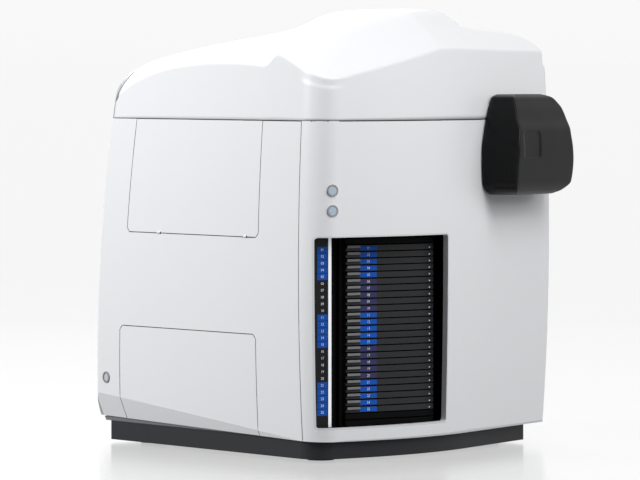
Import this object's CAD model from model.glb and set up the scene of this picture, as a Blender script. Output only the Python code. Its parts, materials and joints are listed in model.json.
import json
import math
import bmesh
import bpy
from mathutils import Matrix, Vector
from mathutils.bvhtree import BVHTree

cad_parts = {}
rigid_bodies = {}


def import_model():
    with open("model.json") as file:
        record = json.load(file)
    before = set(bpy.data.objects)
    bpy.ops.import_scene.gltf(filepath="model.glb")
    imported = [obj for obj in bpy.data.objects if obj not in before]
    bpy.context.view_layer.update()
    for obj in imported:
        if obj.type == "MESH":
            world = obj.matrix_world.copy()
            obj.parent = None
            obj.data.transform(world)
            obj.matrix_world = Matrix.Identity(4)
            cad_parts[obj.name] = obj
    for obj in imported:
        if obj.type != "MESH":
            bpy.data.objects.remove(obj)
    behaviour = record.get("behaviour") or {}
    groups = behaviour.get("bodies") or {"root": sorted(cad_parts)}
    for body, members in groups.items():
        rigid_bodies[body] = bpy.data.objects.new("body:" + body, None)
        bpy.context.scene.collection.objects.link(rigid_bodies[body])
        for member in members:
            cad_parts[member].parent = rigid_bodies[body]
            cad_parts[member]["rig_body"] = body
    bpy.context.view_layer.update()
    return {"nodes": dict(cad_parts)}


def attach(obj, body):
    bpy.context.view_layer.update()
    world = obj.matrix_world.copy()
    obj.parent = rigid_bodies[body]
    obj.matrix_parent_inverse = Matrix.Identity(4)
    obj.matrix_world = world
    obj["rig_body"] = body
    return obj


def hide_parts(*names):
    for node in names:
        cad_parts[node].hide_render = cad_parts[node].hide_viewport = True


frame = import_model()
cad = frame["nodes"]

# ---------------------------------------------------------------- studio
# A pale sweep, six soft boxes and a camera at the photograph's angle. The verticals stay upright in the
# photograph, so the camera is level and its lens is shifted down.
SHIFT_X, SHIFT_Y = 0.0218, -0.0006          # the drawing's zero in the shared frame
YAW = math.radians(36.0)
DISTANCE = 6.64
camera_data = bpy.data.cameras.new("studio_camera")
camera_data.sensor_width = 36.0
camera_data.lens = 281.25
camera_data.shift_y = -0.2703
camera = bpy.data.objects.new("studio_camera", camera_data)
bpy.context.scene.collection.objects.link(camera)
NEAR_CORNER = (-0.239 + SHIFT_X, -0.2215 + SHIFT_Y)      # the camera's distance is taken from the near corner
EYE_HEIGHT = 0.5245
camera.location = (NEAR_CORNER[0] - DISTANCE * math.sin(YAW), NEAR_CORNER[1] - DISTANCE * math.cos(YAW), EYE_HEIGHT)
camera.rotation_euler = (math.radians(90.0), 0.0, -YAW)
camera_data.clip_end = 60.0
bpy.context.scene.camera = camera


def linear(code):
    """sRGB hex to the linear colour that the shader takes."""
    out = []
    for k in (1, 3, 5):
        c = int(code[k:k + 2], 16) / 255.0
        out.append(c / 12.92 if c <= 0.04045 else ((c + 0.055) / 1.055) ** 2.4)
    return (out[0], out[1], out[2], 1.0)


def add_node(tree, kind, links=(), **settings):
    """Adds one shader node; links are (input, source node, output) and settings are sockets or properties."""
    made = tree.nodes.new(kind)
    for key, value in settings.items():
        name = key.replace("_", " ")
        socket = next((s for s in made.inputs if s.name == name or s.identifier == key), None)
        if socket is not None and not hasattr(type(made), key):
            socket.default_value = value
        elif hasattr(made, key):
            setattr(made, key, value)
        else:
            socket.default_value = value
    for into, source, output in links:
        tree.links.new(source.outputs[output], made.inputs[into])
    return made


def surface(name):
    """A new material with an empty tree, and its output node."""
    made = bpy.data.materials.new(name)
    made.use_nodes = True
    tree = made.node_tree
    tree.nodes.clear()
    return made, tree, tree.nodes.new("ShaderNodeOutputMaterial")


# the sweep shows white to the camera and to gloss, with a soft mirror image and the object's shadow in
# it, and throws little light back up
floor_paint, tree, out = surface("studio_sweep_gloss_paint")
path = add_node(tree, "ShaderNodeLightPath")
seen = add_node(tree, "ShaderNodeMath", [(0, path, "Is Camera Ray"), (1, path, "Is Glossy Ray")], operation="MAXIMUM")
through = add_node(tree, "ShaderNodeMath", [(0, seen, 0), (1, path, "Is Transmission Ray")], operation="MAXIMUM")
matt = add_node(tree, "ShaderNodeBsdfDiffuse")
matt.inputs["Color"].default_value = linear("#6e6e70")
pale = add_node(tree, "ShaderNodeBsdfDiffuse")
pale.inputs["Color"].default_value = linear("#f2f2f2")
mirror = add_node(tree, "ShaderNodeBsdfGlossy", Roughness=0.18)
mirror.inputs["Color"].default_value = linear("#ffffff")
glow = add_node(tree, "ShaderNodeEmission", Strength=1.0)
glow.inputs["Color"].default_value = linear("#ffffff")
lit = add_node(tree, "ShaderNodeMixShader", [(1, pale, 0), (2, mirror, 0)])
lit.inputs[0].default_value = 0.86
shown = add_node(tree, "ShaderNodeMixShader", [(1, glow, 0), (2, lit, 0)])
shown.inputs[0].default_value = 0.5
shade = add_node(tree, "ShaderNodeMixShader", [(0, through, 0), (1, matt, 0), (2, shown, 0)])
tree.links.new(shade.outputs[0], out.inputs["Surface"])

sweep_mesh = bpy.data.meshes.new("studio_floor")
SWEEP_STEPS, SWEEP_HALF, SWEEP_R = 40, 12.0, 4.0
SWEEP_FRONT, SWEEP_BEND, UNDER_FEET = -9.0, 3.0, 0.0005
points = []
for i in range(SWEEP_STEPS):
    t = i / (SWEEP_STEPS - 1.0)
    if t < 0.5:
        points.append((0.0, SWEEP_FRONT + t * 2.0 * (SWEEP_BEND - SWEEP_FRONT), -UNDER_FEET))
    else:
        a = (t - 0.5) * math.pi
        points.append((0.0, SWEEP_BEND + SWEEP_R * math.sin(a), SWEEP_R - SWEEP_R * math.cos(a) - UNDER_FEET))
bm = bmesh.new()
left = [bm.verts.new((-SWEEP_HALF, p[1], p[2])) for p in points]
right = [bm.verts.new((SWEEP_HALF, p[1], p[2])) for p in points]
for i in range(len(points) - 1):
    bm.faces.new((left[i], right[i], right[i + 1], left[i + 1]))
bm.to_mesh(sweep_mesh)
bm.free()
sweep_mesh.polygons.foreach_set("use_smooth", [True] * len(sweep_mesh.polygons))
sweep_mesh.materials.append(floor_paint)
sweep = bpy.data.objects.new("studio_floor", sweep_mesh)
sweep.rotation_euler = (0.0, 0.0, -YAW)
bpy.context.scene.collection.objects.link(sweep)

world = bpy.data.worlds.new("studio_world")
world.use_nodes = True
tree = world.node_tree
tree.nodes.clear()
out = tree.nodes.new("ShaderNodeOutputWorld")
path = add_node(tree, "ShaderNodeLightPath")
seen = add_node(tree, "ShaderNodeMath", [(0, path, "Is Camera Ray"), (1, path, "Is Glossy Ray")], operation="MAXIMUM")
through = add_node(tree, "ShaderNodeMath", [(0, seen, 0), (1, path, "Is Transmission Ray")], operation="MAXIMUM")
dim = add_node(tree, "ShaderNodeBackground", Strength=0.12)
dim.inputs["Color"].default_value = linear("#f4f6fa")
white = add_node(tree, "ShaderNodeBackground", Strength=1.0)
white.inputs["Color"].default_value = linear("#ffffff")
mix = add_node(tree, "ShaderNodeMixShader", [(0, through, 0), (1, dim, 0), (2, white, 0)])
tree.links.new(mix.outputs[0], out.inputs["Surface"])
bpy.context.scene.world = world


# Soft boxes on a ring round the object: compass angle from the front towards its left, height angle, watts.
BOX_SIDE, BOX_REACH, BOX_AIM = 1.5, 3.4, Vector((0.0, 0.0, 0.28))
SOFT_BOXES = (
    ("left_rear_box", 112.0, 26.0, 92.0), ("front_high_box", 0.0, 42.0, 52.0), ("front_box", -6.0, 24.0, 18.0),
    ("top_box", 0.0, 68.0, 12.0), ("right_box", -40.0, 24.0, 18.0), ("rear_box", -160.0, 30.0, 40.0))
for name, compass, height, power in SOFT_BOXES:
    data = bpy.data.lights.new(name, "AREA")
    data.shape = "SQUARE"
    data.size = BOX_SIDE
    data.energy = power
    box = bpy.data.objects.new(name, data)
    turn, lift = math.radians(compass), math.radians(height)
    away = Vector((-math.sin(turn) * math.cos(lift), -math.cos(turn) * math.cos(lift), math.sin(lift)))
    box.location = BOX_AIM + away * BOX_REACH
    box.rotation_euler = away.to_track_quat("Z", "Y").to_euler()
    bpy.context.scene.collection.objects.link(box)

bpy.context.scene.view_settings.view_transform = "Standard"

# ---------------------------------------------------------------- white covers
# Large shells of white structural foam, moulded and then sprayed with a satin two-part paint: an even
# white with a faint orange peel, softly glossy, with dark open seams where the pieces meet.
def satin_paint(name, code, rough=0.40, peel=0.02):
    made, tree, out = surface(name)
    where = add_node(tree, "ShaderNodeTexCoord")
    cloud = add_node(tree, "ShaderNodeTexNoise", [("Vector", where, "Object")], Scale=6.0, Detail=2.0)
    tone = add_node(tree, "ShaderNodeMapRange", [("Value", cloud, "Fac")])
    tone.inputs["To Min"].default_value = rough - 0.03
    tone.inputs["To Max"].default_value = rough + 0.03
    grain = add_node(tree, "ShaderNodeTexNoise", [("Vector", where, "Object")], Scale=900.0, Detail=1.0)
    bump = add_node(tree, "ShaderNodeBump", [("Height", grain, "Fac")], Strength=peel, Distance=0.0004)
    skin = add_node(tree, "ShaderNodeBsdfPrincipled", [("Roughness", tone, 0), ("Normal", bump, 0)], IOR=1.5)
    skin.inputs["Base Color"].default_value = linear(code)
    tree.links.new(skin.outputs[0], out.inputs["Surface"])
    return made


white_paint = satin_paint("white_satin_paint_on_foam_moulding", "#eeeff1")


def even_normals(data, sharp):
    """Corner normals weighted by area among faces that meet softly, so thin slivers don't show in the gloss."""
    limit = math.cos(math.radians(sharp))
    faces_at = [[] for _ in data.vertices]
    for face in data.polygons:
        for v in face.vertices:
            faces_at[v].append(face.index)
    normal = [face.normal.copy() for face in data.polygons]
    area = [face.area for face in data.polygons]
    corners = []
    for face in data.polygons:
        for v in face.vertices:
            whole = Vector()
            for other in faces_at[v]:
                if normal[other].dot(normal[face.index]) > limit:
                    whole += normal[other] * area[other]
            corners.append(whole.normalized() if whole.length else normal[face.index])
    data.normals_split_custom_set(corners)


def smooth_copy(node, name, material, sharp=32.0, body=None):
    """A merged, smooth-shaded copy of a CAD node that stands for it."""
    data = cad[node].data.copy()
    data.name = name
    bm = bmesh.new()
    bm.from_mesh(data)
    bmesh.ops.remove_doubles(bm, verts=bm.verts, dist=1e-6)
    for face in bm.faces:
        face.smooth = True
    bm.to_mesh(data)
    bm.free()
    even_normals(data, sharp)
    data.materials.clear()
    data.materials.append(material)
    piece = bpy.data.objects.new(name, data)
    bpy.context.scene.collection.objects.link(piece)
    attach(piece, body or cad[node]["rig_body"])
    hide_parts(node)
    return piece


# moulded foam as it leaves the tool: dark grey, dull, with a faint swirl
foam, tree, out = surface("bare_charcoal_structural_foam")
where = add_node(tree, "ShaderNodeTexCoord")
swirl = add_node(tree, "ShaderNodeTexNoise", [("Vector", where, "Object")], Scale=60.0, Detail=4.0)
tone = add_node(tree, "ShaderNodeMapRange", [("Value", swirl, "Fac")])
tone.inputs["To Min"].default_value = 0.6
tone.inputs["To Max"].default_value = 0.8
skin = add_node(tree, "ShaderNodeBsdfPrincipled", [("Roughness", tone, 0)])
skin.inputs["Base Color"].default_value = linear("#3a3b3d")
tree.links.new(skin.outputs[0], out.inputs["Surface"])
WALL, RAY_OFF, RAY_REACH = 0.003, 1e-4, 0.05


def bare_inside(piece):
    """Paint on the outer skin only: the inner faces and the cut edges of the wall stay bare foam."""
    data = piece.data
    faces = BVHTree.FromPolygons([v.co for v in data.vertices], [f.vertices for f in data.polygons])
    data.materials.append(foam)
    for face in data.polygons:
        outward = Vector((face.center.x - SHIFT_X, face.center.y - SHIFT_Y, 0.0))
        hit = faces.ray_cast(face.center - face.normal * RAY_OFF, -face.normal, RAY_REACH)
        thin = hit[0] is not None and hit[3] < 2.2 * WALL
        face.material_index = 0 if thin and face.normal.dot(outward) > 0 else 1


for node in ("side_cover_left", "side_cover_right", "front_cover", "upper_flap", "lower_panel"):
    bare_inside(smooth_copy(node, "white_" + node, white_paint, 12.0))

# ---------------------------------------------------------------- seam lips
# A black rubber lip is pressed into each open seam of the covers, flush with the paint: it keeps dust and
# light out, and draws the dark lines round the flap, the panel, the front cover and under the hood.
lip_rubber, tree, out = surface("black_extruded_rubber_lip")
where = add_node(tree, "ShaderNodeTexCoord")
bloom = add_node(tree, "ShaderNodeTexNoise", [("Vector", where, "Object")], Scale=300.0, Detail=1.0)
dull = add_node(tree, "ShaderNodeMapRange", [("Value", bloom, "Fac")])
dull.inputs["To Min"].default_value = 0.75
dull.inputs["To Max"].default_value = 0.95
rubber = add_node(tree, "ShaderNodeBsdfPrincipled", [("Roughness", dull, 0)])
rubber.inputs["Base Color"].default_value = linear("#2a2b2d")
rubber.inputs["Specular IOR Level"].default_value = 0.1
tree.links.new(rubber.outputs[0], out.inputs["Surface"])

GAP, LIP, SUNK, PROUD = 0.0006, 0.0005, 0.0012, 0.00008
skin_verts, skin_faces = [], []
for node in ("side_cover_left", "front_cover", "upper_flap", "lower_panel"):
    data = bpy.data.objects["white_" + node].data
    base = len(skin_verts)
    skin_verts += [v.co for v in data.vertices]
    skin_faces += [[base + v for v in f.vertices] for f in data.polygons]
skin_of_covers = BVHTree.FromPolygons(skin_verts, skin_faces)


def skin_x(y, z):
    """Where the left side's outer skin lies at a place (drawing frame)."""
    hit = skin_of_covers.ray_cast(Vector((-0.5, y + SHIFT_Y, z)), Vector((1.0, 0.0, 0.0)))
    return hit[0].x if hit[0] is not None else None


def rubber_strip(name, rings):
    """Closed four-sided rubber strip through rings of four corners, fixed to the covers."""
    data = bpy.data.meshes.new(name)
    bm = bmesh.new()
    made = [[bm.verts.new(c) for c in ring] for ring in rings]
    for a, b in zip(made, made[1:]):
        for k in range(4):
            bm.faces.new((a[k], a[(k + 1) % 4], b[(k + 1) % 4], b[k]))
    if (Vector(rings[0][0]) - Vector(rings[-1][0])).length > 1e-6:
        bm.faces.new(made[0])
        bm.faces.new(made[-1])
    bmesh.ops.remove_doubles(bm, verts=bm.verts, dist=1e-7)
    bmesh.ops.recalc_face_normals(bm, faces=bm.faces)
    bm.to_mesh(data)
    bm.free()
    data.materials.append(lip_rubber)
    piece = bpy.data.objects.new(name, data)
    bpy.context.scene.collection.objects.link(piece)
    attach(piece, "body")


def seam_lip(name, path):
    """Lip along a path of (y, z, outward y, outward z) that follows the opening's edge on the left side."""
    rings = []
    for y, z, ny, nz in path:
        inner = skin_x(y - ny * (GAP + 0.0004), z - nz * (GAP + 0.0004))
        outer = skin_x(y + ny * (LIP + 0.0003), z + nz * (LIP + 0.0003))
        if inner is None or outer is None or abs(inner - outer) > 0.01:
            continue
        yi, zi, yo, zo = y - ny * GAP * 0.95, z - nz * GAP * 0.95, y + ny * LIP, z + nz * LIP
        rings.append(((inner - PROUD, yi + SHIFT_Y, zi), (outer - PROUD, yo + SHIFT_Y, zo),
                      (outer + SUNK, yo + SHIFT_Y, zo), (inner + SUNK, yi + SHIFT_Y, zi)))
    rubber_strip(name, rings)


def three_sides(y0, y1, z_open, z_closed, r, steps=14):
    """Edge of an opening with two round corners at its closed end."""
    way = 1.0 if z_closed > z_open else -1.0
    turn = z_closed - way * r
    path = [(y0, z_open + (turn - z_open) * i / steps, -1.0, 0.0) for i in range(steps)]
    for k in range(9):
        a = math.radians(90.0 * k / 8)
        path.append((y0 + r - r * math.cos(a), turn + way * r * math.sin(a), -math.cos(a), way * math.sin(a)))
    path += [(y0 + r + (y1 - y0 - 2 * r) * i / steps, z_closed, 0.0, way) for i in range(1, steps)]
    for k in range(9):
        a = math.radians(90.0 * k / 8)
        path.append((y1 - r + r * math.sin(a), turn + way * r * math.cos(a), math.sin(a), way * math.cos(a)))
    path += [(y1, turn + (z_open - turn) * i / steps, 1.0, 0.0) for i in range(1, steps + 1)]
    return path


OPENING_R = 0.006
seam_lip("flap_seam_lip", three_sides(-0.1255, 0.1840, 0.4520, 0.2960, OPENING_R))
seam_lip("panel_seam_lip", three_sides(-0.1205, 0.1925, 0.0310, 0.1660, OPENING_R, 24))
seam_lip("front_seam_lip", [(-0.2165, 0.0300 + 0.4225 * i / 60, -1.0, 0.0) for i in range(61)])


# two small black hinge knuckles in the flap's lower seam, where its pins turn
for number, along in (("1", 0.106), ("2", -0.096)):
    data = bpy.data.meshes.new("flap_hinge_knuckle_" + number)
    bm = bmesh.new()
    bmesh.ops.create_uvsphere(bm, u_segments=16, v_segments=10, radius=1.0)
    x = skin_x(along, 0.2935)
    for v in bm.verts:
        v.co = Vector((x + 0.0006 + v.co.x * 0.0014, along + SHIFT_Y + v.co.y * 0.0022, 0.29555 + v.co.z * 0.0010))
    for face in bm.faces:
        face.smooth = True
    bm.to_mesh(data)
    bm.free()
    data.materials.append(lip_rubber)
    knuckle = bpy.data.objects.new("flap_hinge_knuckle_" + number, data)
    bpy.context.scene.collection.objects.link(knuckle)
    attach(knuckle, "body")

# ---------------------------------------------------------------- hood
# One big moulding over the whole top: upright walls, a front slope, a deck and the raised hump over the
# camera, all blended with soft radii. It sits on the covers with an open seam.
HOOD_Z = 0.4536
HOOD_REAR = 0.2455
TURN = math.radians(24.4)


def outline(z):
    """The body's plan at a height: closed list of corner points with their radii, drawing frame, metres."""
    mm = z * 1000.0
    front = -253.5 + 0.00008 * (mm - 300.0) ** 2
    left = -270.0 + 0.00012 * (mm - 275.0) ** 2
    rear_left = -284.6 + 0.000229 * (mm - 110.0) ** 2
    right = 241.0 - 0.00015 * (mm - 300.0) ** 2
    edge = front + (right + 78.0) * math.tan(TURN)
    corners = [(left, front, 36.0), (-78.0, front, 530.0), (right, edge, 4.0), (right, 256.5, 20.0),
               (rear_left, 256.5, 15.0)]
    return [(x / 1000, y / 1000, r / 1000) for x, y, r in corners]


def rounded(corners, steps=(10, 40, 5, 8, 8)):
    """Points along the rounded outline, the same count at every height."""
    made = []
    n = len(corners)
    for i in range(n):
        x0, y0, _ = corners[i - 1]
        x1, y1, r = corners[i]
        x2, y2, _ = corners[(i + 1) % n]
        a = Vector((x0 - x1, y0 - y1)).normalized()
        b = Vector((x2 - x1, y2 - y1)).normalized()
        half = math.acos(max(-1.0, min(1.0, a.dot(b)))) / 2
        reach = r / math.tan(half)
        centre = Vector((x1, y1)) + (a + b).normalized() * (r / math.sin(half))
        start = Vector((x1, y1)) + a * reach - centre
        end = Vector((x1, y1)) + b * reach - centre
        sweep_angle = math.atan2(start.x * end.y - start.y * end.x, start.dot(end))
        for k in range(steps[i] + 1):
            t = sweep_angle * k / steps[i]
            turned = (start.x * math.cos(t) - start.y * math.sin(t), start.x * math.sin(t) + start.y * math.cos(t))
            made.append(centre + Vector(turned))
    return made


def hood_height(x, y):
    """Height of the top surface above a point of the drawing frame, in metres."""
    u, v = x * 1000.0 + 239.0, y * 1000.0 + 221.5
    deck = 582 - (48 if u < 260 else 20) * ((u - 260) / 275) ** 2 - 21 * ((v - 170) / 300) ** 2
    deck -= 20 * math.exp(-((u + 25) ** 2 + (v + 10) ** 2) / 75 ** 2)
    deck -= (3 + 27 * (max(v, 0) / 467) ** 6) * math.exp(-max(u + 12, -24) / 18)
    deck -= 14 * math.exp(-max(468 - u, -6) / 10)
    hump_left = -27 + 0.76 * v - 45 * math.exp(-(v - 90) / 25)
    hump = 23 / (1 + math.exp(-(u - hump_left) / (6 + 20 * max(v, 0) / 467))) / (1 + math.exp((u - 298) / 5))
    front = -32.0
    if 55 <= u < 262:
        front += 500 - math.sqrt(500 ** 2 - (u - 55) ** 2)
    if u >= 262:
        front += (u - 163) * 0.4663
    crease = 505 + 0.207 * max(-30, min(u, 200))
    slope = crease + 0.69 * (v - front)
    low = min(slope, deck + hump)
    rest = math.exp(-(slope - low) / 6.0) + math.exp(-(deck + hump - low) / 6.0)
    return (low - 6.0 * math.log(rest)) / 1000.0


def resample(points, count):
    """Evenly spaced points round a closed outline, starting at its first point."""
    runs = [(points[(i + 1) % len(points)] - points[i]).length for i in range(len(points))]
    whole = sum(runs)
    made, i, done = [], 0, 0.0
    for k in range(count):
        want = whole * k / count
        while done + runs[i] < want:
            done += runs[i]
            i += 1
        t = (want - done) / max(runs[i], 1e-9)
        made.append(points[i].lerp(points[(i + 1) % len(points)], t))
    return made


def wall_point(k, z):
    """Point k of the outline at height z, cut off square at the hood's rear."""
    p = wall_rows(z)[k]
    return Vector((p.x, min(p.y, HOOD_REAR), z))


_rows = {}
AROUND = 420


def wall_rows(z):
    key = round(z, 5)
    if key not in _rows:
        _rows[key] = resample(rounded(outline(key)), AROUND)
    return _rows[key]


# the lip that the hood rests on, all round the covers' top edge
lip_rings = []
LIP_LOW, LIP_HIGH, LIP_PROUD, LIP_DEEP, REAR_LIMIT = 0.4522, 0.45355, 0.00006, 0.0020, 0.2564
top_edge = wall_rows(0.4530)
for p in top_edge + top_edge[:1]:
    away = p.normalized()
    out_x, out_y = p.x + away.x * LIP_PROUD + SHIFT_X, min(p.y + away.y * LIP_PROUD, REAR_LIMIT) + SHIFT_Y
    in_x, in_y = p.x - away.x * LIP_DEEP + SHIFT_X, p.y - away.y * LIP_DEEP + SHIFT_Y
    lip_rings.append(((out_x, out_y, LIP_LOW), (out_x, out_y, LIP_HIGH),
                      (in_x, in_y, LIP_HIGH), (in_x, in_y, LIP_LOW)))
rubber_strip("hood_seam_lip", lip_rings)

WALL_STEPS, TOP_STEPS = 26, 90
CENTRE = Vector((-0.02, 0.02))
bm = bmesh.new()
columns = []
for k in range(AROUND):
    low_z, high_z = 0.48, 0.60
    for _ in range(16):
        mid = (low_z + high_z) / 2
        p = wall_point(k, mid)
        if hood_height(p.x, p.y) > mid:
            low_z = mid
        else:
            high_z = mid
    crease_z = (low_z + high_z) / 2
    column = []
    for i in range(WALL_STEPS + 1):
        t = 1.0 - (1.0 - i / WALL_STEPS) ** 1.5
        column.append(wall_point(k, HOOD_Z + (crease_z - HOOD_Z) * t))
    edge = column[-1]
    for i in range(1, TOP_STEPS):
        t = 1.0 - (i / TOP_STEPS) ** 1.35
        x = CENTRE.x + (edge.x - CENTRE.x) * t
        y = CENTRE.y + (edge.y - CENTRE.y) * t
        column.append(Vector((x, y, hood_height(x, y))))
    columns.append([bm.verts.new((c.x + SHIFT_X, c.y + SHIFT_Y, c.z)) for c in column])
top = bm.verts.new((CENTRE.x + SHIFT_X, CENTRE.y + SHIFT_Y, hood_height(CENTRE.x, CENTRE.y)))
for k in range(AROUND):
    a, b = columns[k], columns[(k + 1) % AROUND]
    for i in range(len(a) - 1):
        bm.faces.new((a[i], b[i], b[i + 1], a[i + 1]))
    bm.faces.new((a[-1], b[-1], top))
# soften the crease between wall and top with a few local relaxing passes
soft = [v for column in columns for v in column[WALL_STEPS - 9:WALL_STEPS + 9]]
for _ in range(14):
    bmesh.ops.smooth_vert(bm, verts=soft, factor=0.5, use_axis_x=True, use_axis_y=True, use_axis_z=True)
bmesh.ops.recalc_face_normals(bm, faces=bm.faces)
for face in bm.faces:
    face.smooth = True
hood_mesh = bpy.data.meshes.new("white_hood")
bm.to_mesh(hood_mesh)
bm.free()
hood_mesh.materials.append(white_paint)
hood = bpy.data.objects.new("white_hood", hood_mesh)
bpy.context.scene.collection.objects.link(hood)
wall = hood.modifiers.new("moulded_wall", "SOLIDIFY")
wall.thickness = 0.003
wall.offset = -1.0
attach(hood, "hood")
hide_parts("hood")

# ---------------------------------------------------------------- rear cover
# Flat moulding in mid grey that closes the back, with the fan's louvres and the mains inlet.
grey_paint = satin_paint("grey_satin_paint_on_foam_moulding", "#a9adb1", 0.42)
smooth_copy("rear_cover", "grey_rear_cover", grey_paint, 12.0)

# ---------------------------------------------------------------- plinth, feet, chassis
# The plinth is a folded steel tray with a dark textured powder coat. The rubber feet under it are black.
def powder_coat(name, code, rough=0.55, bump_mm=0.08, scale=1400.0, level=0.5):
    made, tree, out = surface(name)
    where = add_node(tree, "ShaderNodeTexCoord")
    grit = add_node(tree, "ShaderNodeTexNoise", [("Vector", where, "Object")], Scale=scale, Detail=2.0)
    bump = add_node(tree, "ShaderNodeBump", [("Height", grit, "Fac")], Strength=0.35, Distance=bump_mm / 1000.0)
    spread = add_node(tree, "ShaderNodeMapRange", [("Value", grit, "Fac")])
    spread.inputs["To Min"].default_value = rough - 0.08
    spread.inputs["To Max"].default_value = rough + 0.08
    coat = add_node(tree, "ShaderNodeBsdfPrincipled", [("Roughness", spread, 0), ("Normal", bump, 0)], IOR=1.5)
    coat.inputs["Base Color"].default_value = linear(code)
    coat.inputs["Specular IOR Level"].default_value = level
    tree.links.new(coat.outputs[0], out.inputs["Surface"])
    return made


plinth_coat = powder_coat("charcoal_powder_coated_steel", "#242527", level=0.14)
smooth_copy("plinth", "dark_plinth", plinth_coat)
foot_rubber = powder_coat("black_moulded_rubber", "#161616", 0.8)
smooth_copy("feet", "rubber_feet", foot_rubber)
chassis_coat = powder_coat("grey_painted_chassis_steel", "#7d8185", 0.5)
smooth_copy("chassis", "steel_chassis", chassis_coat)
smooth_copy("power_supply", "power_supply_box", chassis_coat)

# ---------------------------------------------------------------- loading window
# A thin grey moulding lines the window; beside the trays stand the printed position scale and a pale bar.
rim_paint = satin_paint("light_grey_moulded_rim", "#dfe0e2", 0.4)
smooth_copy("window_frame", "window_rim", rim_paint)
bar_metal, tree, out = surface("silver_anodised_aluminium")
where = add_node(tree, "ShaderNodeTexCoord")
stretch = add_node(tree, "ShaderNodeMapping", [("Vector", where, "Object")])
stretch.inputs["Scale"].default_value = (900.0, 900.0, 12.0)
brush = add_node(tree, "ShaderNodeTexNoise", [("Vector", stretch, 0)], Scale=1.0, Detail=2.0)
spread = add_node(tree, "ShaderNodeMapRange", [("Value", brush, "Fac")])
spread.inputs["To Min"].default_value = 0.32
spread.inputs["To Max"].default_value = 0.48
metal = add_node(tree, "ShaderNodeBsdfPrincipled", [("Roughness", spread, 0)])
metal.inputs["Metallic"].default_value = 0.6
metal.inputs["Base Color"].default_value = linear("#e4e6e8")
tree.links.new(metal.outputs[0], out.inputs["Surface"])
smooth_copy("divider_bar", "pale_divider_bar", bar_metal)

matt_black = powder_coat("matt_black_powder_coated_steel", "#060607", 0.7, level=0.06)
for node in ("magazine_rack", "hatch_tracks", "light_tube"):
    smooth_copy(node, "black_" + node, matt_black)


def moulded_plastic(name, code, rough=0.42, grain_scale=2200.0, grain=0.15, level=0.5):
    made, tree, out = surface(name)
    where = add_node(tree, "ShaderNodeTexCoord")
    grit = add_node(tree, "ShaderNodeTexNoise", [("Vector", where, "Object")], Scale=grain_scale, Detail=1.0)
    bump = add_node(tree, "ShaderNodeBump", [("Height", grit, "Fac")], Strength=grain, Distance=0.00005)
    cloud = add_node(tree, "ShaderNodeTexNoise", [("Vector", where, "Object")], Scale=25.0, Detail=2.0)
    spread = add_node(tree, "ShaderNodeMapRange", [("Value", cloud, "Fac")])
    spread.inputs["To Min"].default_value = rough - 0.04
    spread.inputs["To Max"].default_value = rough + 0.04
    skin = add_node(tree, "ShaderNodeBsdfPrincipled", [("Roughness", spread, 0), ("Normal", bump, 0)], IOR=1.49)
    skin.inputs["Base Color"].default_value = linear(code)
    skin.inputs["Specular IOR Level"].default_value = level
    tree.links.new(skin.outputs[0], out.inputs["Surface"])
    return made


# the printed film: blue cells and near-black cells in groups of five, one white number on each
TRAYS, PITCH, LOW_Z = 25, 0.009, 0.0660
film_black = moulded_plastic("black_printed_film", "#101012", 0.4, level=0.12)
film_blue = moulded_plastic("blue_printed_film", "#0f4ea8", 0.4, level=0.15)
film_white = moulded_plastic("white_screen_print", "#e8eaec", 0.5)
smooth_copy("position_scale", "scale_backing_film", film_black)


def tray_height(n):
    return LOW_Z + PITCH * (TRAYS - n)


# three blocks of five blue cells: a line of cells repeated on a line of blocks
cells = bpy.data.node_groups.new("scale_cells", "GeometryNodeTree")
for label, kind, value in (("Cell width", "NodeSocketFloat", 0.0166), ("Cell height", "NodeSocketFloat", 0.0083),
                           ("Pitch", "NodeSocketFloat", PITCH), ("Block pitch", "NodeSocketFloat", 10 * PITCH)):
    made = cells.interface.new_socket(name=label, in_out="INPUT", socket_type=kind)
    made.default_value = value
cells.interface.new_socket(name="Film", in_out="INPUT", socket_type="NodeSocketMaterial")
cells.interface.new_socket(name="Geometry", in_out="OUTPUT", socket_type="NodeSocketGeometry")
given = cells.nodes.new("NodeGroupInput")
result = cells.nodes.new("NodeGroupOutput")
size = add_node(cells, "ShaderNodeCombineXYZ", [("X", given, "Cell width"), ("Z", given, "Cell height")])
size.inputs["Y"].default_value = 0.0002
cell = add_node(cells, "GeometryNodeMeshCube", [("Size", size, 0)])
down = add_node(cells, "ShaderNodeMath", [(0, given, "Pitch")], operation="MULTIPLY")
down.inputs[1].default_value = -1.0
step = add_node(cells, "ShaderNodeCombineXYZ", [("Z", down, 0)])
column = add_node(cells, "GeometryNodeMeshLine", [("Offset", step, 0)], Count=5)
five = add_node(cells, "GeometryNodeInstanceOnPoints", [("Points", column, 0), ("Instance", cell, 0)])
block_down = add_node(cells, "ShaderNodeMath", [(0, given, "Block pitch")], operation="MULTIPLY")
block_down.inputs[1].default_value = -1.0
block_step = add_node(cells, "ShaderNodeCombineXYZ", [("Z", block_down, 0)])
blocks = add_node(cells, "GeometryNodeMeshLine", [("Offset", block_step, 0)], Count=3)
fifteen = add_node(cells, "GeometryNodeInstanceOnPoints", [("Points", blocks, 0), ("Instance", five, 0)])
real = add_node(cells, "GeometryNodeRealizeInstances", [("Geometry", fifteen, 0)])
coated = add_node(cells, "GeometryNodeSetMaterial", [("Geometry", real, 0), ("Material", given, "Film")])
cells.links.new(coated.outputs[0], result.inputs[0])


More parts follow.
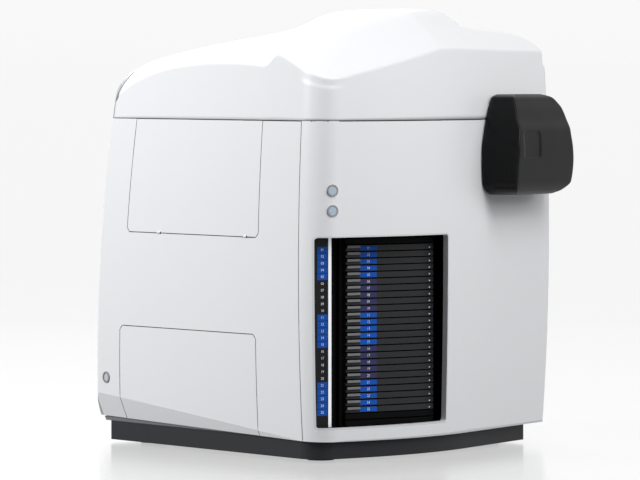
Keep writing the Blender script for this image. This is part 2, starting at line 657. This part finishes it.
def grown(name, tree, values, place, body):
    """Evaluates a node tree with its inputs set, and keeps the result as a plain mesh at a place."""
    holder = bpy.data.objects.new(name, bpy.data.meshes.new(name))
    bpy.context.scene.collection.objects.link(holder)
    growth = holder.modifiers.new("growth", "NODES")
    growth.node_group = tree
    for socket in tree.interface.items_tree:
        if socket.item_type == "SOCKET" and socket.in_out == "INPUT" and socket.name in values:
            growth[socket.identifier] = values[socket.name]
    bpy.context.view_layer.update()
    data = bpy.data.meshes.new_from_object(holder.evaluated_get(bpy.context.evaluated_depsgraph_get()))
    holder.modifiers.remove(growth)
    data.name = name
    data.transform(Matrix.Translation(place))
    holder.data = data
    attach(holder, body)
    return holder


STRIP_Y = -0.229
FILM_X0, FILM_X1 = -0.2490, -0.2324
film_middle = (FILM_X0 + FILM_X1) / 2
cell_place = Vector((film_middle + SHIFT_X, STRIP_Y - 0.0001 + SHIFT_Y, tray_height(1)))
blue_cells = grown("blue_scale_cells", cells, {"Film": film_blue, "Pitch": PITCH, "Block pitch": 10 * PITCH},
                   cell_place, "body")


DIGIT = 0.0050


def number_mesh(name, text, size, x, y, z, material, body):
    """One printed number, facing the front: font outline turned into a thin mesh."""
    curve = bpy.data.curves.new(name + "_font", "FONT")
    curve.body = text
    curve.size = size
    curve.align_x = "CENTER"
    curve.align_y = "CENTER"
    curve.resolution_u = 2
    curve.extrude = 0.00003
    temp = bpy.data.objects.new(name + "_font", curve)
    bpy.context.scene.collection.objects.link(temp)
    bpy.context.view_layer.update()
    data = bpy.data.meshes.new_from_object(temp.evaluated_get(bpy.context.evaluated_depsgraph_get()))
    bpy.data.objects.remove(temp)
    data.name = name
    for v in data.vertices:
        v.co = Vector((v.co.x + x + SHIFT_X, y - v.co.z + SHIFT_Y, v.co.y + z))
    data.materials.clear()
    data.materials.append(material)
    piece = bpy.data.objects.new(name, data)
    bpy.context.scene.collection.objects.link(piece)
    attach(piece, body)


for n in range(1, TRAYS + 1):
    number_mesh("scale_number_%02d" % n, "%02d" % n, DIGIT, film_middle, STRIP_Y - 0.00025, tray_height(n),
                film_white, "body")

# ---------------------------------------------------------------- trays
# 25 slide trays of dark glass-filled plastic: a pull tab on the left, a numbered label, a long plain bar.
tray_plastic = moulded_plastic("charcoal_glass_filled_nylon", "#27282a", 0.36, level=0.16)
tab_plastic = moulded_plastic("grey_pull_tab_nylon", "#6d6f70", 0.5)
label_blue = moulded_plastic("blue_tray_label_film", "#1257bb", 0.4, level=0.15)
label_slate = moulded_plastic("slate_tray_label_film", "#35345f", 0.4, level=0.15)
TRAY_X0, TRAY_X1, TRAY_Y, TRAY_BOW = -0.186, -0.039, -0.207, 0.004
TAB_X1, LABEL_X1 = TRAY_X0 + 0.022, TRAY_X0 + 0.049


def bar_y(x):
    """Front of a tray's bowed bar."""
    half = (TRAY_X1 - TRAY_X0) / 2
    return TRAY_Y - TRAY_BOW * (1.0 - ((x - TRAY_X0 - half) / half) ** 2)


def pull_tab(name, x0, x1, y0, y1, z0, z1, body):
    """The pale cap of a tray's pull tab, with eased edges."""
    data = bpy.data.meshes.new(name)
    bm = bmesh.new()
    bmesh.ops.create_cube(bm, size=1.0)
    for v in bm.verts:
        v.co = Vector(((x0 + x1) / 2 + v.co.x * (x1 - x0) + SHIFT_X, (y0 + y1) / 2 + v.co.y * (y1 - y0) + SHIFT_Y,
                       (z0 + z1) / 2 + v.co.z * (z1 - z0)))
    bmesh.ops.bevel(bm, geom=bm.edges[:], offset=0.00015, segments=2, affect="EDGES")
    bm.to_mesh(data)
    bm.free()
    data.materials.append(tab_plastic)
    piece = bpy.data.objects.new(name, data)
    bpy.context.scene.collection.objects.link(piece)
    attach(piece, body)


def bowed_strip(name, x0, x1, z0, z1, lift, material, body, steps=8):
    """Thin film that follows the bowed bar."""
    data = bpy.data.meshes.new(name)
    bm = bmesh.new()
    rings = []
    for i in range(steps + 1):
        x = x0 + (x1 - x0) * i / steps
        y = bar_y(x)
        rings.append([bm.verts.new((x + SHIFT_X, yy + SHIFT_Y, zz)) for yy, zz in
                      ((y - lift, z0), (y - lift, z1), (y + 0.0003, z1), (y + 0.0003, z0))])
    for a, b in zip(rings, rings[1:]):
        for k in range(4):
            bm.faces.new((a[k], a[(k + 1) % 4], b[(k + 1) % 4], b[k]))
    bm.faces.new(rings[0])
    bm.faces.new(rings[-1])
    bmesh.ops.recalc_face_normals(bm, faces=bm.faces)
    bm.to_mesh(data)
    bm.free()
    data.materials.append(material)
    piece = bpy.data.objects.new(name, data)
    bpy.context.scene.collection.objects.link(piece)
    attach(piece, body)


def arrow_mark(name, x, z, size, material, body):
    """Small printed triangle that points right, near the right end of a tray."""
    data = bpy.data.meshes.new(name)
    bm = bmesh.new()
    y = bar_y(x) - 0.0001
    front = [bm.verts.new((x + dx + SHIFT_X, y + SHIFT_Y, z + dz))
             for dx, dz in ((0, -size), (2.2 * size, 0), (0, size))]
    back = [bm.verts.new((v.co.x, v.co.y + 0.0003, v.co.z)) for v in front]
    bm.faces.new(front)
    bm.faces.new(back[::-1])
    for k in range(3):
        bm.faces.new((front[k], back[k], back[(k + 1) % 3], front[(k + 1) % 3]))
    bmesh.ops.recalc_face_normals(bm, faces=bm.faces)
    bm.to_mesh(data)
    bm.free()
    data.materials.append(material)
    piece = bpy.data.objects.new(name, data)
    bpy.context.scene.collection.objects.link(piece)
    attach(piece, body)


for n in range(1, TRAYS + 1):
    body = "tray_%02d" % n
    z = tray_height(n)
    smooth_copy(body, "dark_tray_%02d" % n, tray_plastic)
    blue = (n - 1) // 5 % 2 == 0
    pull_tab("tray_tab_%02d" % n, TRAY_X0 + 0.0002, TAB_X1 - 0.0002, TRAY_Y - 0.0038, TRAY_Y - 0.0034,
             z + 0.0003, z + 0.0036, body)
    bowed_strip("tray_label_%02d" % n, TAB_X1 + 0.0004, LABEL_X1, z - 0.0031, z + 0.0031, 0.00015,
                label_blue if blue else label_slate, body)
    middle = (TAB_X1 + LABEL_X1) / 2
    number_mesh("tray_number_%02d" % n, "%02d" % n, DIGIT, middle, bar_y(middle) - 0.00035, z, film_white, body)
    arrow_mark("tray_mark_%02d" % n, -0.0470, z - 0.0012, 0.0011, film_white, body)

# ---------------------------------------------------------------- push buttons
# Turned and chromed rings pressed into the front cover, each round a domed translucent button.
chrome, tree, out = surface("bright_chromed_brass")
where = add_node(tree, "ShaderNodeTexCoord")
haze = add_node(tree, "ShaderNodeTexNoise", [("Vector", where, "Object")], Scale=180.0, Detail=2.0)
spread = add_node(tree, "ShaderNodeMapRange", [("Value", haze, "Fac")])
spread.inputs["To Min"].default_value = 0.10
spread.inputs["To Max"].default_value = 0.20
metal = add_node(tree, "ShaderNodeBsdfPrincipled", [("Roughness", spread, 0)])
metal.inputs["Metallic"].default_value = 1.0
metal.inputs["Base Color"].default_value = linear("#8d9196")
tree.links.new(metal.outputs[0], out.inputs["Surface"])
smooth_copy("button_bezels", "chrome_button_rings", chrome)
button_face = moulded_plastic("pale_blue_button_acrylic", "#b9cbd8", 0.15)
smooth_copy("start_button", "start_button_cap", button_face)
smooth_copy("open_button", "open_button_cap", button_face)
power_face = moulded_plastic("light_grey_button_plastic", "#c9cbce", 0.35)
smooth_copy("power_button", "power_button_cap", power_face)

# ---------------------------------------------------------------- lamp housing
# Two black mouldings screwed together: a main shell with a fine grain, its front face carrying a shallow
# grip recess, and a glossier end cap that wraps round the front edge and holds a catch block and a slot.
LAMP_TURN = math.radians(24.4)
LAMP_ORIGIN = Vector((0.0610 + SHIFT_X, -0.1911 + SHIFT_Y, 0.0))
LAMP_ALONG = Vector((math.cos(LAMP_TURN), math.sin(LAMP_TURN), 0.0))
LAMP_OUT = Vector((math.sin(LAMP_TURN), -math.cos(LAMP_TURN), 0.0))
LAMP_ROWS = (      # height, left end, right end, depth, in mm
    (349.5, 14.0, 126.0, 43.0), (354.0, 3.0, 143.0, 49.0), (366.0, -8.0, 162.0, 54.7),
    (389.0, -10.0, 164.5, 57.0), (413.0, -9.6, 160.0, 58.8), (436.0, -3.5, 156.0, 57.0),
    (453.0, 2.4, 157.4, 49.4), (467.0, 9.0, 155.0, 44.0), (476.0, 14.0, 148.5, 39.5),
    (483.0, 18.0, 139.0, 35.5), (487.0, 33.0, 125.0, 26.0))
EDGE_R, FAR_R = 3.0, 9.0
CAP_REACH, CAP_GAP = 6.0, 0.5
FLAT_STEPS, ARC_STEPS, ROW_STEPS = 60, 6, 84


def lamp_row(z):
    """Left end, right end and depth of the lamp at a height, eased between the named rows."""
    rows = LAMP_ROWS
    k = max(i for i in range(len(rows) - 1) if rows[i][0] <= z + 1e-6)
    a, b = rows[k], rows[k + 1]
    t = (z - a[0]) / (b[0] - a[0])
    made = []
    for c in (1, 2, 3):
        def slope(i):
            if i in (0, len(rows) - 1):
                j = 0 if i == 0 else i - 1
                return (rows[j + 1][c] - rows[j][c]) / (rows[j + 1][0] - rows[j][0])
            d0 = (rows[i][c] - rows[i - 1][c]) / (rows[i][0] - rows[i - 1][0])
            d1 = (rows[i + 1][c] - rows[i][c]) / (rows[i + 1][0] - rows[i][0])
            return 0.0 if d0 * d1 <= 0 else 2 * d0 * d1 / (d0 + d1)
        h = b[0] - a[0]
        made.append((2 * t ** 3 - 3 * t * t + 1) * a[c] + (t ** 3 - 2 * t * t + t) * h * slope(k)
                    + (3 * t * t - 2 * t ** 3) * b[c] + (t ** 3 - t * t) * h * slope(k + 1))
    return made


def corner(cx, cy, r, start):
    """Quarter circle from a start angle in degrees."""
    turns = [math.radians(start + 90.0 * i / ARC_STEPS) for i in range(ARC_STEPS + 1)]
    return [(cx + r * math.cos(a), cy + r * math.sin(a)) for a in turns]


def cap_outline(z):
    """Outline of the end cap: round the left end, from the cover to the front. (along, out) in mm."""
    s0, s1, deep = lamp_row(z)
    back = corner(s0 + EDGE_R, EDGE_R, EDGE_R, 270.0)[::-1]
    front = corner(s0 + EDGE_R, deep - EDGE_R, EDGE_R, 90.0)[::-1]
    side = [(s0, EDGE_R + (deep - 2 * EDGE_R) * i / 24.0) for i in range(1, 24)]
    return [(s0 + CAP_REACH, 0.0)] + back + side + front + [(s0 + CAP_REACH, deep)]


def shell_outline(z):
    """Outline of the main shell: along the front, round the right end and back along the cover."""
    s0, s1, deep = lamp_row(z)
    start = s0 + CAP_REACH + CAP_GAP
    flat = [(start + (s1 - FAR_R - start) * i / FLAT_STEPS, deep) for i in range(FLAT_STEPS)]
    front = corner(s1 - FAR_R, deep - FAR_R, FAR_R, 0.0)[::-1]
    back = corner(s1 - FAR_R, FAR_R, FAR_R, 270.0)[::-1]
    return flat + front + back + [(start, 0.0)]


def sunk(a, z, box, soft):
    """0 outside a rounded box in (along, height), 1 inside, eased over the soft edge."""
    a0, a1, z0, z1, r = box
    dx = max(a0 + r - a, a - a1 + r, 0.0)
    dz = max(z0 + r - z, z - z1 + r, 0.0)
    d = r - math.hypot(dx, dz) if dx and dz else min(a - a0, a1 - a, z - z0, z1 - z)
    t = max(0.0, min(1.0, d / soft))
    return t * t * (3 - 2 * t)


# each: two ends across, two heights, corner radius, in mm
GRIP = (7.0, 56.0, 400.0, 437.0, 6.0)
CATCH = (35.5, 57.0, 372.0, 408.0, 1.5)
SLOT = (16.0, 55.0, 358.0, 366.0, 1.5)
SILL_Z = 372.0


def lamp_part(name, outline_of, material, node, shape):
    """Skin of one lamp moulding, row by row, with its recesses and raised blocks pressed in."""
    data = bpy.data.meshes.new(name)
    bm = bmesh.new()
    rings = []
    z_low, z_high = LAMP_ROWS[0][0], LAMP_ROWS[-1][0]
    for i in range(ROW_STEPS + 1):
        z = z_low + (z_high - z_low) * i / ROW_STEPS
        ring = []
        for a, o in outline_of(z):
            a, o = shape(a, o, z)
            p = LAMP_ORIGIN + LAMP_ALONG * (a / 1000.0) + LAMP_OUT * (o / 1000.0)
            ring.append(bm.verts.new((p.x, p.y, z / 1000.0)))
        rings.append(ring)
    for low, high in zip(rings, rings[1:]):
        for k in range(len(low)):
            bm.faces.new((low[k], low[(k + 1) % len(low)], high[(k + 1) % len(low)], high[k]))
    bm.faces.new(rings[0])
    bm.faces.new(rings[-1])
    bmesh.ops.recalc_face_normals(bm, faces=bm.faces)
    for face in bm.faces:
        face.smooth = True
    bm.to_mesh(data)
    bm.free()
    data.set_sharp_from_angle(angle=math.radians(50.0))
    data.materials.append(material)
    piece = bpy.data.objects.new(name, data)
    bpy.context.scene.collection.objects.link(piece)
    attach(piece, "body")
    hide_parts(node)


def shell_shape(a, o, z):
    """Grip recess and the groove above the skirt, in the front face."""
    s0, s1, deep = lamp_row(z)
    if o > deep - 0.5:
        o -= 1.3 * sunk(a, z, GRIP, 1.2)
        o -= 0.5 * math.exp(-((z - SILL_Z) / 1.1) ** 2)
    return a, o


def cap_shape(a, o, z):
    """Raised catch block and the slot under it, in the left face."""
    s0, s1, deep = lamp_row(z)
    if a < s0 + 0.5:
        a -= 1.0 * sunk(o, z, CATCH, 0.8)
        a += 2.0 * sunk(o, z, SLOT, 0.8)
    return a, o


shell_black = moulded_plastic("black_grained_abs", "#0e0e0f", 0.40, level=0.10)
cap_black = moulded_plastic("black_polished_abs", "#101112", 0.30, level=0.10)
lamp_part("lamp_main_shell", shell_outline, shell_black, "lamp_housing", shell_shape)
lamp_part("lamp_end_cap_gloss", cap_outline, cap_black, "lamp_end_cap", cap_shape)

# ---------------------------------------------------------------- hatch
# A bent sheet of smoked acrylic that slides on its curved tracks across the window.
smoke, tree, out = surface("smoked_acrylic_sheet")
where = add_node(tree, "ShaderNodeTexCoord")
wave = add_node(tree, "ShaderNodeTexNoise", [("Vector", where, "Object")], Scale=4.0, Detail=1.0)
bump = add_node(tree, "ShaderNodeBump", [("Height", wave, "Fac")], Strength=0.02, Distance=0.001)
sheet = add_node(tree, "ShaderNodeBsdfPrincipled", [("Normal", bump, 0)], Roughness=0.06, IOR=1.49)
sheet.inputs["Transmission Weight"].default_value = 0.9
sheet.inputs["Base Color"].default_value = linear("#5a5c60")
tree.links.new(sheet.outputs[0], out.inputs["Surface"])
smooth_copy("hatch", "smoked_hatch", smoke, 20.0)

# ---------------------------------------------------------------- works inside
# Cast and machined aluminium stand and stages, blackened steel turrets, ground steel guide rods.
def metal_finish(name, code, rough, scale, metallic=1.0):
    made, tree, out = surface(name)
    where = add_node(tree, "ShaderNodeTexCoord")
    grit = add_node(tree, "ShaderNodeTexNoise", [("Vector", where, "Object")], Scale=scale, Detail=2.0)
    bump = add_node(tree, "ShaderNodeBump", [("Height", grit, "Fac")], Strength=0.2, Distance=0.0001)
    spread = add_node(tree, "ShaderNodeMapRange", [("Value", grit, "Fac")])
    spread.inputs["To Min"].default_value = rough - 0.07
    spread.inputs["To Max"].default_value = rough + 0.07
    skin = add_node(tree, "ShaderNodeBsdfPrincipled", [("Roughness", spread, 0), ("Normal", bump, 0)])
    skin.inputs["Metallic"].default_value = metallic
    skin.inputs["Base Color"].default_value = linear(code)
    tree.links.new(skin.outputs[0], out.inputs["Surface"])
    return made


cast = metal_finish("bead_blasted_cast_aluminium", "#b4b6b8", 0.5, 700.0)
black_steel = metal_finish("blackened_turned_steel", "#3a3b3d", 0.35, 400.0)
ground = metal_finish("ground_guide_steel", "#c4c6c8", 0.25, 900.0)
for node in ("microscope_stand", "stage_y_carriage", "stage_x_carriage", "elevator_carriage"):
    smooth_copy(node, "cast_" + node, cast)
for node in ("objective_turret", "reflector_turret", "condenser"):
    smooth_copy(node, "black_" + node, black_steel)
for node in ("elevator_guide", "tray_gripper"):
    smooth_copy(node, "steel_" + node, ground)
smooth_copy("camera", "camera_body", shell_black)
smooth_copy("fan_rotor", "black_fan_rotor", shell_black)
